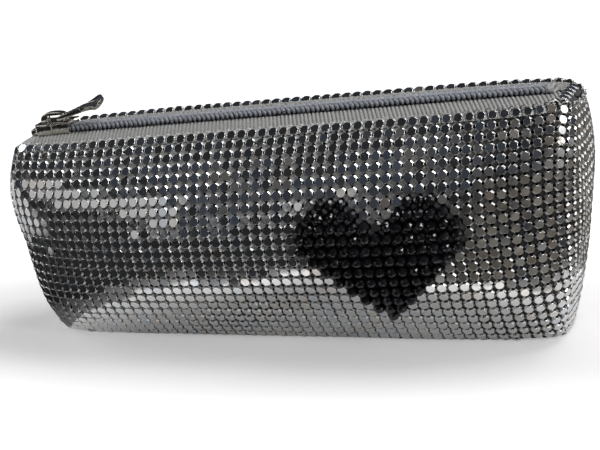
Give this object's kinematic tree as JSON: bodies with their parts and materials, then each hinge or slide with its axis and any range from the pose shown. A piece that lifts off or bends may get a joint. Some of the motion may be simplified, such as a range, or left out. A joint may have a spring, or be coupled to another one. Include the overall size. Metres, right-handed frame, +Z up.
{
  "type": "cosmetic bag",
  "caption": "Small stuffed barrel-shaped pouch of metal mesh with a zipped mouth along the top and a heart of black faceted crystals on its front.",
  "frame": {"origin": "middle of the flat base, on the surface the bag stands on", "axes": "+X along the zipper, from the shut end to the open end; -Y is the front with the heart; +Z up"},
  "size_m": [0.1758, 0.0596, 0.0715],
  "materials": {
    "mesh": "polished",
    "lining": "satin weave",
    "zip_tape": "ribbed weave",
    "coil": "satin nylon",
    "nickel": "bright nickel plate",
    "crystal": "faceted black glass"
  },
  "bodies": {
    "root": {"base_mesh": "mesh", "base_lining": "lining", "left_side_seam": "lining", "right_side_seam": "lining", "bottom_stop": "zip_tape"},
    "front_lip": {"front_mesh_panel": "mesh", "front_lining": "lining", "front_zip_tape": "zip_tape", "front_coil": "coil", "front_top_stop": "nickel", "heart_crystals": "crystal"},
    "back_lip": {"back_mesh_panel": "mesh", "back_lining": "lining", "back_zip_tape": "zip_tape", "back_coil": "coil", "back_top_stop": "nickel"},
    "slider": {"slider_body": "nickel"},
    "pull": {"pull_tab": "nickel"}
  },
  "joints": [
    {"name": "slider_slide", "type": "slide", "parent": "root", "child": "slider", "axis": [0.9987, 0, 0.0507], "range_m": [0, 0.147]},
    {"name": "pull_swing", "type": "hinge", "parent": "slider", "child": "pull", "pos_m": [-0.07277, 0, 0.06586], "axis": [0, -1, 0], "range_deg": [0, 150]},
    {"name": "front_lip_swing", "type": "hinge", "parent": "root", "child": "front_lip", "pos_m": [0, -0.01848, 0.008], "axis": [1, 0, 0.0061], "range_deg": [0, 18], "deforming": ["front_coil", "front_zip_tape"]},
    {"name": "back_lip_swing", "type": "hinge", "parent": "root", "child": "back_lip", "pos_m": [0, 0.01848, 0.008], "axis": [-1, 0, -0.0061], "range_deg": [0, 18], "deforming": ["back_coil", "back_zip_tape"]}
  ],
  "couplings": [
    {"joint": "front_lip_swing", "follows": "slider_slide", "rad_per_m": 2.137},
    {"joint": "back_lip_swing", "follows": "slider_slide", "rad_per_m": 2.137}
  ]
}
